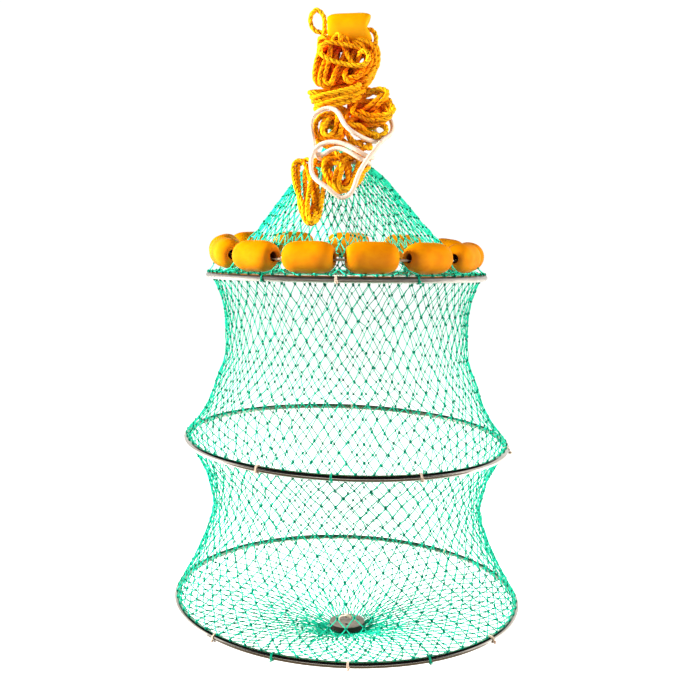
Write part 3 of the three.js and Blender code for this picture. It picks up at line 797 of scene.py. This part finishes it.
def floatCollar():
    # each float sits over the cord, which lies at the bottom of its bore
    form = barrelForm("foamBarrel", floats)
    spin = np.random.default_rng(floats["seed"])
    lift = np.array([0, 0, ((floats["bore"] - floats["cordDiameter"]) / 2 - floats["cordGap"]) / 1000])
    turns = []
    for a, b in zip(cordCorners[:-1], cordCorners[1:]):
        along = Vector(b - a).to_track_quat("X", "Z")
        about = Quaternion((1, 0, 0), spin.uniform(0, 2 * pi))
        turns.append(tuple((along @ about).to_euler()))
    piece = meshPiece("floatCollar", (cordCorners[:-1] + cordCorners[1:]) / 2 + lift)
    setAttributes(piece, turn=turns)
    dressed(piece, copiesTree(), form=form, finish=mouldedFoam("mouldedFoam", "#dc7a00", "#ea9000"))
    bpy.data.objects.remove(form)
    return finishPiece(piece, "foam", *[f"float_{i + 1}" for i in range(len(collar))])


handle = {
    "length": 43.0,
    "sides": 56,
    "middle": (3.0, 0.0, 236.5),
    "tilt": 2.0,  # the right end higher
    # how deep the rope has worn its right end, from where along it, over what length, and how high up
    "saddle": 5.5,
    "saddleFrom": 0.2,
    "saddleLength": 0.3,
    "saddleWidth": 7.5,
    "saddleLevel": 1,
    # the bore opens into a wide mouth
    "profile": [(4.5, 0.0), (4.5, 0.66), (5.2, 0.72), (7.6, 0.85), (9.6, 0.95), (10.6, 0.99), (11.5, 1.0),
                (12.5, 0.97), (13.5, 0.9), (14.3, 0.79), (14.8, 0.65), (15.0, 0.45), (15.0, 0.0)],
}


def handleFloat():
    piece = barrelForm("handleFloat", handle)
    first, span = handle["length"] * handle["saddleFrom"], handle["length"] * handle["saddleLength"]
    for vertex in piece.data.vertices:
        x, y, z = vertex.co * 1000
        near = min(max((x - first) / span, 0), 1)
        wide = exp(-((z - handle["saddleLevel"]) / handle["saddleWidth"]) ** 2)
        vertex.co.x -= handle["saddle"] / 1000 * near ** 2 * wide
    turned = Matrix.Rotation(radians(-handle["tilt"]), 4, "Y")
    piece.data.transform(Matrix.Translation(inFrame(handle["middle"])) @ turned)
    # the same foam, in yellower tones
    finish = mouldedFoam("mouldedYellowFoam", "#f09c00", "#fab000")
    return finishPiece(piece, "foam", "handle_float", material=finish)


def floatCord():
    # one line round the collar, bent at the netting between the floats, and painted a darker tan than the
    # white braid as shade
    corners, bend = cordCorners[:-1], floats["cordBend"]
    line = []
    for i, corner in enumerate(corners):
        before, after = corners[i - 1], corners[(i + 1) % len(corners)]
        line.append(corner + bend * (before - corner))
        line.append(corner + floats["cordCut"] * (before + after - 2 * corner))
        line += [corner + share * (after - corner) for share in (bend, 0.2, 0.4, 0.6, 0.8)]
    piece = meshPiece("floatCord", line, edges=chainEdges(len(line)) + [(len(line) - 1, 0)])
    # painted shade: a darker copy of the white braid
    finish = braidedPolyester("stainedBraid", "#a98f72", "#d2bb9d")
    laid(piece, floats["cordDiameter"], floats["cordLay"], finish)
    return finishPiece(piece, "white_cord", "float_cord")


quarterArc = 0.5523  # of the radius: the length of handle that rounds a quarter of a circle
weight = {
    "radius": 18.0,
    "thickness": 6.0,
    "topLevel": -356.0,
    "holeRadius": 2.25,
    "holeCircle": 9.0,
    "rim": 0.7,
}


def castLead():
    # a cast sinker, gone dull: brown-grey and pitted on top, its side painted dark as shade
    material, add, shader = newMaterial("castLead", Metallic=0.4, Roughness=0.5)
    at = add("ShaderNodeTexCoord").outputs["Object"]
    cloud, tone = clouded(add, at, 260.0, 6.0, "#94837a", "#b09f95")
    level = add("ShaderNodeSeparateXYZ", [at]).outputs["Z"]
    top = (weight["topLevel"] - hangLevel) / 1000
    # painted shade: below the top face the side turns dark
    side = add("ShaderNodeMapRange", {"Value": level, "From Min": top - 0.0012, "From Max": top - 0.0002},
               interpolation_type="SMOOTHSTEP")
    shadedSkin = add("ShaderNodeMix", {0: side, 6: linear("#2b211d"), 7: tone}, data_type="RGBA").outputs[2]
    bump = add("ShaderNodeBump", {"Height": cloud, "Strength": 0.4, "Distance": 0.0004})
    plug(shader, {"Base Color": shadedSkin, "Normal": bump})
    return material


def weightDisc():
    # a cast disc with four holes, its edges rounded over
    outline = bpy.data.curves.new("castDisc", "CURVE")
    outline.dimensions, outline.fill_mode = "2D", "BOTH"
    outline.resolution_u = 16
    circle, hole = weight["holeCircle"], weight["holeRadius"] + weight["rim"] * 0.5
    places = [(0, 0, weight["radius"] - weight["rim"])]
    places += [(circle * cos(i * pi / 2), circle * sin(i * pi / 2), hole) for i in range(4)]
    for x, y, r in places:
        ring = outline.splines.new("BEZIER")
        ring.bezier_points.add(3)
        for k, point in enumerate(ring.bezier_points):
            t = k * pi / 2
            away, side = Vector((cos(t), sin(t), 0)), Vector((-sin(t), cos(t), 0))
            point.co = (Vector((x, y, 0)) + away * r) / 1000
            point.handle_left = point.co - side * r * quarterArc / 1000
            point.handle_right = point.co + side * r * quarterArc / 1000
        ring.use_cyclic_u = True
    outline.extrude = (weight["thickness"] / 2 - weight["rim"]) / 1000
    outline.bevel_depth, outline.bevel_resolution = weight["rim"] / 1000, 3
    disc = newObject("castDisc", outline)
    piece = newObject("weight", evaluatedMesh(disc))
    bpy.data.objects.remove(disc)
    piece.data.transform(Matrix.Translation(inFrame((0, 0, weight["topLevel"] - weight["thickness"] / 2))))
    return finishPiece(piece, "weight_metal", "weight", material=castLead())


weightString = {
    "diameter": 1.8,
    "lay": (6, 9.0, 0.06, 12),
    # up through one hole to the middle of the disc, from where it goes down through the other the same way
    "half": [(-7.9, 0, -363.2), (-7.95, 0, -359), (-7.9, 0, -355.2), (-6.9, -0.6, -352.2), (-4.6, -1, -350.8),
             (-2.2, -1.1, -350.6), (0, -1.6, -350.4)],
    "step": 0.8,
    "knot": [(-2.6, -1.2, -350.5), (-1.2, -2.5, -349.5), (0.6, -2.7, -350.3), (1.5, -1.3, -351.9),
             (0.3, 0.5, -351.9), (-0.9, 0.5, -350.0), (-0.6, -1.2, -348.7), (0.9, -2.6, -349.4),
             (2.3, -2.4, -350.6), (3.2, -2.0, -352.4)],
    "knotStep": 0.6,
}


def weightStringPiece():
    half = weightString["half"]
    line = smoothRoute(half + [(-x, y, z) for x, y, z in half[-2::-1]], weightString["step"])
    knot = smoothRoute(weightString["knot"], weightString["knotStep"])
    edges = chainEdges(len(line)) + chainEdges(len(knot), len(line))
    piece = meshPiece("weightString", inFrame(np.vstack([line, knot])), edges=edges)
    laid(piece, weightString["diameter"], weightString["lay"], cordMaterial)
    return finishPiece(piece, "white_cord", "weight_tie")


neck = [(65, 67), (40, 99), (26, 110.5), (14, 121), (6.2, 132), (3.5, 141)]
netting = {
    "columns": 64,
    "bar": 13.0,  # from knot to knot
    "slack": 0.955,  # how much of its length a bar reaches, being bowed
    "twine": {"cone": 0.9, "upper": 0.72, "lower": 1.0, "base": 1.0},
    "twineSides": 5,
    "knot": (2.9, 2.6, 1.8),  # round the cage, up and through
    "knotRings": 5,
    "knotSides": 8,
    "knotWaist": 0.26,
    "knotRidge": 0.16,
    "knotTwist": 0.35,
    "knotSizes": (0.85, 1.15),
    "knotPitch": 2.4,  # a knot is narrower where the next row's lie nearer than this sideways
    "facing": {"cone": (0.7, 0.7), "base": (0.15, 1)},  # of its knots, outward and upward
    "layRatio": 0.35,
    "nodes": {"cone": "net_cone", "upper": "net_side_upper", "lower": "net_side_lower", "base": "net_base"},
    "hangsFrom": {"cone": "floatCord", "upper": "topHoop", "lower": "middleHoop", "base": "bottomHoop"},
    # how far the knots and bars lie off the even net
    "waves": (2, 3, 5, 8, 11),  # how many times a wave goes up and down round the cage
    "waveSlants": (-0.6, 0.6),
    "waveSum": 2.2,
    "arcStray": 0.55,
    "dropStray": 0.5,
    "dropScale": 12,  # millimetres of drop to one step along a profile
    "bow": 0.45,
    "seed": 5,
    "rodRoom": 3.55,  # from the middle of a hoop's rod to the twine that passes it
    # how far the meshes are drawn together on the float cord, within which height and angle of a gap
    "pinch": 0.82,
    "pinchHeight": 7.5,
    "pinchAngle": 8.5,
    "gapHalf": 5.0,  # degrees from the middle of a gap to the full height of the floats
    # the profiles of the panels, radius and level, with the cone's both in a gap and over a float
    "cone": {
        "gap": [(136, 3.9), (131.5, 7.6), (127.3, 11.3), (123.1, 14.8), (112, 22), (101, 28.8), (89.5, 36.5),
                *neck],
        "float": [(136, 3.9), (128, 3.8), (120.9, 3.5), (112, 4.4), (104, 9.5), (97, 20), (88, 35), *neck],
    },
    "upper": [(136, 3.9), (131.6, 0), (130.6, -4), (128.5, -8), (123, -22), (120, -38), (119.5, -74),
              (121.5, -85), (129, -102), (135.5, -123), (145, -141), (159.7, -158.4)],
    "lower": [(159.7, -158.4), (156.0, -162), (154.5, -168), (150, -178), (142, -191), (137, -212),
              (133.5, -227), (136, -241), (144, -265), (153, -285), (162, -302), (172.2, -319.4)],
    "base": [(172.2, -319.4), (168.6, -323), (166.5, -328.5), (160, -331), (132, -337), (100, -343.5),
             (66, -351), (40, -357.5), (20, -363.2), (9, -364.6), (7.5, -367), (8.5, -371), (5, -374),
             (1.6, -374.6)],
}


def twistedTwine():
    # twisted polyethylene twine: sea green and waxy, its drawn knots darker than the bars between them
    material, add, shader = newMaterial("twistedPolyethyleneTwine", Roughness=0.6, Specular_IOR_Level=0.12)
    knot, shade = (add("ShaderNodeAttribute", attribute_name=part).outputs["Fac"]
                   for part in ("knot", "shade"))
    # below the middle of the ramp a random tone; above it painted light, for the bars of the cone
    bar = add("ShaderNodeValToRGB", [shade], stops=[(0.0, "#10b088"), (1.0, "#3cfccc"), (0.5, "#24d8ac")])
    lump = add("ShaderNodeValToRGB", [shade], stops=[(0.0, "#006a50"), (1.0, "#00b088"), (0.5, "#008f6e")])
    tone = add("ShaderNodeMix", {0: knot, 6: bar, 7: lump}, data_type="RGBA").outputs[2]
    plug(shader, {"Base Color": tone})
    return material


twineMaterial = twistedTwine()


def rowStops(profile):
    # places along the profile where rows of knots lie, with every bar of one length
    profile = np.asarray(profile, float)
    along = stepsAlong(profile)
    stops = [0.0]
    while stops[-1] < along[-1]:
        radius = np.interp(stops[-1], along, profile[:, 0])
        half = pi * radius / netting["columns"]
        stops.append(stops[-1] + netting["slack"] * sqrt(netting["bar"] ** 2 - half ** 2))
    stops = np.array(stops)
    return np.interp(stops * along[-1] / stops[-1], along, np.arange(len(profile)))


def smoothField(dice, angle, row):
    # a slow wander round and down the cage
    total = np.zeros(np.broadcast(angle, row).shape)
    for times in netting["waves"]:
        phase, slant = dice.uniform(0, 2 * pi), dice.uniform(*netting["waveSlants"])
        total = total + dice.normal(0, 1) * np.sin(np.radians(angle) * times + slant * row + phase)
    return total / netting["waveSum"]


def knotRows(dice, profile, parity, first=None, gap=None):
    # radius, angle and level of every knot; the first row is shared with the panel above
    columns = netting["columns"]
    stops = rowStops(profile)
    row = np.arange(len(stops))[:, None]
    angle = 360 / columns * (np.arange(columns)[None] + 0.5 * ((row + parity) % 2))
    place = np.arange(len(profile))
    radius = np.interp(stops, place, np.array(profile)[:, 0])[:, None]
    # the rows near the edges of a panel are held and stray less
    free = np.clip(np.minimum(row, len(stops) - 1 - row) / 2, 0.25, 1)
    arc = smoothField(dice, angle, row) + dice.normal(0, netting["arcStray"], angle.shape)
    drop = smoothField(dice, angle, row) + dice.normal(0, netting["dropStray"], angle.shape)
    angle = angle + np.degrees(arc * free / np.maximum(radius, 25))
    moved = np.clip(stops[:, None] + drop * free / netting["dropScale"], 0, len(profile) - 1.001)
    moved[0], moved[-1] = stops[0], stops[-1] - 1e-4

    def along(line):
        return [np.interp(moved, place, column) for column in np.array(line).T]

    radius, level = along(profile)
    if gap is not None:
        away = (angle[..., None] - gapAngles + 180) % 360 - 180
        nearest = np.take_along_axis(away, np.abs(away).argmin(-1)[..., None], -1)[..., 0]
        inGap = along(gap)
        height = (inGap[1] - floats["cordLevel"]) / netting["pinchHeight"]
        pull = netting["pinch"] * np.exp(-height ** 2 - (nearest / netting["pinchAngle"]) ** 2)
        angle = angle - nearest * pull
        share = np.clip(1 - np.abs(nearest * (1 - pull)) / netting["gapHalf"], 0, 1)
        radius, level = [share * a + (1 - share) * b for a, b in zip(inGap, (radius, level))]
    knots = np.stack([radius, angle, level], axis=-1)
    if first is not None:
        knots[0] = first
    return knots


def clearOfRods(points):
    # a twine that meets a hoop's rod passes inside it
    room = netting["rodRoom"]
    for name in hoopNames:
        radius, level = hoops[name]
        drop = points[..., 2] - level
        bulge = np.sqrt(np.clip(room ** 2 - drop ** 2, 0, None))
        inside = (np.abs(drop) < room) & (np.abs(points[..., 0] - radius) < bulge)
        points[..., 0] = np.where(inside, radius - bulge, points[..., 0])
    return points


def panelBars(dice, knots, parity, segments):
    # every bar as a short chain of points, a little bowed
    columns = netting["columns"]
    chains = []
    share = np.linspace(0, 1, segments + 1)[None, None, :, None]
    for row in range(len(knots) - 1):
        odd = (row + parity) % 2
        for lean in (0, 1):
            other = (np.arange(columns) + (lean if odd else lean - 1)) % columns
            a, b = knots[row], knots[row + 1][other].copy()
            b[:, 1] = a[:, 1] + (b[:, 1] - a[:, 1] + 180) % 360 - 180
            chain = a[None, :, None] * (1 - share) + b[None, :, None] * share
            bow = netting["bow"] * dice.normal(0, 1, (columns, 3)) * (1, 1, 0.5)
            bow[:, 1] = np.degrees(bow[:, 1] / np.maximum(a[:, 0], 12))
            chains.append(clearOfRods(chain[0] + bow[:, None] * np.sin(pi * share[0])))
    return np.concatenate(chains)


def knotForm():
    # a sheet bend drawn tight: a lump with a waist and an off-centre ridge
    rings, sides = netting["knotRings"], netting["knotSides"]
    waist, ridge = netting["knotWaist"], netting["knotRidge"]
    points = [(0, 0, 1.0)]
    for t in (pi * i / rings for i in range(1, rings)):
        for p in (2 * pi * j / sides for j in range(sides)):
            swell = 1 - waist * cos(2 * p) * sin(t) ** 2 + ridge * sin(3 * p + 2 * t)
            points.append((swell * sin(t) * cos(p), swell * sin(t) * sin(p), cos(t)))
    points.append((0, 0, -1.0))
    last = len(points) - 1
    faces = [(0, 1 + j, 1 + (j + 1) % sides) for j in range(sides)]
    # wound the other way, as these rings run down
    faces += [(a, d, c, b) for a, b, c, d in bandFaces(rings - 1, sides, closed=False, first=1)]
    faces += [(last, last - sides + (j + 1) % sides, last - sides + j) for j in range(sides)]
    # X goes round the cage, Z through the netting, Y up
    return meshPiece("drawnKnot", np.array(points) * (np.array(netting["knot"]) / 2000), faces)


def knottedTree():
    # twine along the edges, and a knot on every loose point that is marked as one
    tree, add, given, end = newTree("knottedTwine", form="Object", twine="Float", sides="Int",
                                    finish="Material")
    line = add("GeometryNodeMeshToCurve", {"Mesh": given["Geometry"]})
    half = add("ShaderNodeMath", [given["twine"], 0.5], operation="MULTIPLY")
    ring = add("GeometryNodeCurvePrimitiveCircle", {"Resolution": given["sides"], "Radius": half})
    tube = add("GeometryNodeCurveToMesh", {"Curve": line, "Profile Curve": ring, "Fill Caps": True})
    mark = add("GeometryNodeInputNamedAttribute", {"Name": "knot"})
    chosen = add("FunctionNodeCompare", [mark, 0.5], operation="GREATER_THAN")
    size = add("GeometryNodeInputNamedAttribute", {"Name": "size"}, data_type="FLOAT_VECTOR")
    both = add("GeometryNodeJoinGeometry", [tube])
    plug(both, [setOut(add, given, Selection=chosen, Scale=size)])
    endTree(add, both, given, end)
    return tree


def nettingPanel(part, knots, parity, dice, form, tree, segments=4):
    chains = panelBars(dice, knots, parity, segments)
    steps = chains.shape[1]
    tied = knots[0 if part == "cone" else 1:].reshape(-1, 3)
    points = np.vstack([chains.reshape(-1, 3), tied])
    marked = len(tied)
    count = len(points) - marked
    # each knot faces out: square to the slope in the cone, and nearly straight up in the base
    outward, upward = netting["facing"].get(part, (1, 0))
    turns = []
    for angle in np.radians(tied[:, 1]):
        out = Vector((outward * sin(angle), -outward * cos(angle), upward))
        facing = out.to_track_quat("Z", "Y") @ Quaternion((0, 0, 1), dice.normal(0, netting["knotTwist"]))
        turns.append(tuple(facing.to_euler()))
    edges = [edge for c in range(len(chains)) for edge in chainEdges(steps, c * steps)]
    piece = meshPiece(f"{part}Netting", hangingPoint(*points.T), edges=edges)
    # the bars of the cone are painted brightest: painted light over each bar's random tone
    barToneAndLight = dice.uniform(0, 0.5, len(chains)) + (0.5 if part == "cone" else 0)
    shade = np.concatenate([np.repeat(barToneAndLight, steps), dice.uniform(0, 0.5, marked)])
    size = np.ones((count + marked, 3))
    narrow = np.clip(np.pi * tied[:, 0] / netting["columns"] / netting["knotPitch"], 0.3, 1)[:, None]
    size[count:] = dice.uniform(*netting["knotSizes"], (marked, 3)) * narrow ** [1, 0.3, 0.6]
    setAttributes(piece, knot=np.repeat([0.0, 1.0], [count, marked]), shade=shade, size=size,
                  turn=np.vstack([np.zeros((count, 3)), turns]))
    dressed(piece, tree, form=form, twine=netting["twine"][part] / 1000, sides=netting["twineSides"],
            finish=twineMaterial)
    finishPiece(piece, "netting", netting["nodes"][part])


def wholeNetting():
    # four panels of one piece of netting, the knots of each first row shared with the panel above
    dice = np.random.default_rng(netting["seed"])
    form, tree = knotForm(), knottedTree()
    cone = netting["cone"]
    coneKnots = knotRows(dice, cone["float"], 0, gap=cone["gap"])
    nettingPanel("cone", coneKnots, 0, dice, form, tree, segments=3)
    parity, first = 0, coneKnots[0]
    for name in ("upper", "lower", "base"):
        knots = knotRows(dice, netting[name], parity, first=first)
        nettingPanel(name, knots, parity, dice, form, tree)
        parity, first = (parity + len(knots) - 1) % 2, knots[-1]
        print(f"{name} netting: {len(knots)} rows")
    bpy.data.objects.remove(form)


hoopTies = {
    # the cord or twine of each kind, and the angles round each hoop
    "hoopTies": (0.9, {"top": [-3.5], "middle": [-28.5, 23.5, 77.5, 178],
                       "bottom": [-43, 0.5, 50, 138, 180]}),
    "hoopLashings": (0.8, {"top": [-32, 27], "middle": [-4.5], "bottom": [-21.5, 24.5]}),
    "lay": (4, 5.0, 0.1, 8),
    "turns": 2,
    "startAngle": -35,  # of the first turn, about the rod
    "hold": 0.62,  # of its own thickness: from the rod to the middle of the cord
    "pitch": 1.1,
    "hitchTurns": 1.4,
    "endRise": 1.2,  # how far above the foot of the rod the ends stop
    "step": 0.7,
    "seed": 9,
}


def hoopTiesPiece(name, slot, finish, dice):
    # a few turns round the rod, both ends drawn through a small hitch and cut short
    diameter, places = hoopTies[name]
    turns = hoopTies["turns"]
    points, edges = [], []
    room = hoops["rod"] / 2 + diameter * hoopTies["hold"]
    share = np.linspace(0, 1, 14 * turns)
    turn = radians(hoopTies["startAngle"]) + 2 * pi * turns * share
    aside = (share - 0.5) * turns * hoopTies["pitch"] * diameter
    wrap = np.stack([room * np.cos(turn), aside, room * np.sin(turn)], axis=1)
    hitch = np.linspace(0, 2 * pi * hoopTies["hitchTurns"], 18)
    knot = np.stack([room + 0.7 + diameter * np.cos(hitch), diameter * 1.1 * np.sin(hitch),
                     -room * 0.55 + 0.5 * diameter * hitch / pi], axis=1)
    for hoopName, angles in places.items():
        radius, level = hoops[hoopName]
        for angle in angles:
            ends = []
            for side in (-1, 1):
                end = -hoopTies["endRise"] * dice.uniform(0.6, 1.2)
                slant = dice.normal(0, 1.2)
                ends.append(np.array([(room + 1.2, side * 0.9 + slant, -room - end),
                                      (room + 1.5, side * 0.6 + slant / 2, -room - end / 2),
                                      (room + 0.9, side * 0.5, -room + 0.6)]))
            line = smoothRoute(np.vstack([ends[0], wrap, ends[1][::-1]]), hoopTies["step"])
            for x, y, z in (line.T, knot.T):
                edges += chainEdges(len(x), len(points))
                points += list(hangingPoint(radius + x, angle + np.degrees(y / radius), level + z))
    piece = meshPiece(name, points, edges=edges)
    laid(piece, diameter, hoopTies["lay"], finish)
    return finishPiece(piece, slot)


tieDice = np.random.default_rng(hoopTies["seed"])
hoopTiesPiece("hoopTies", "white_cord", cordMaterial, tieDice)
hoopTiesPiece("hoopLashings", "netting", twineMaterial, tieDice)
steelMaterial = drawnStainless()
for name in hoopNames:
    hoopPiece(name, steelMaterial)
floatCollar()
floatCord()
handleFloat()
weightDisc()
weightStringPiece()
print("hoops, floats and weight ready")
wholeNetting()
print("netting ready")
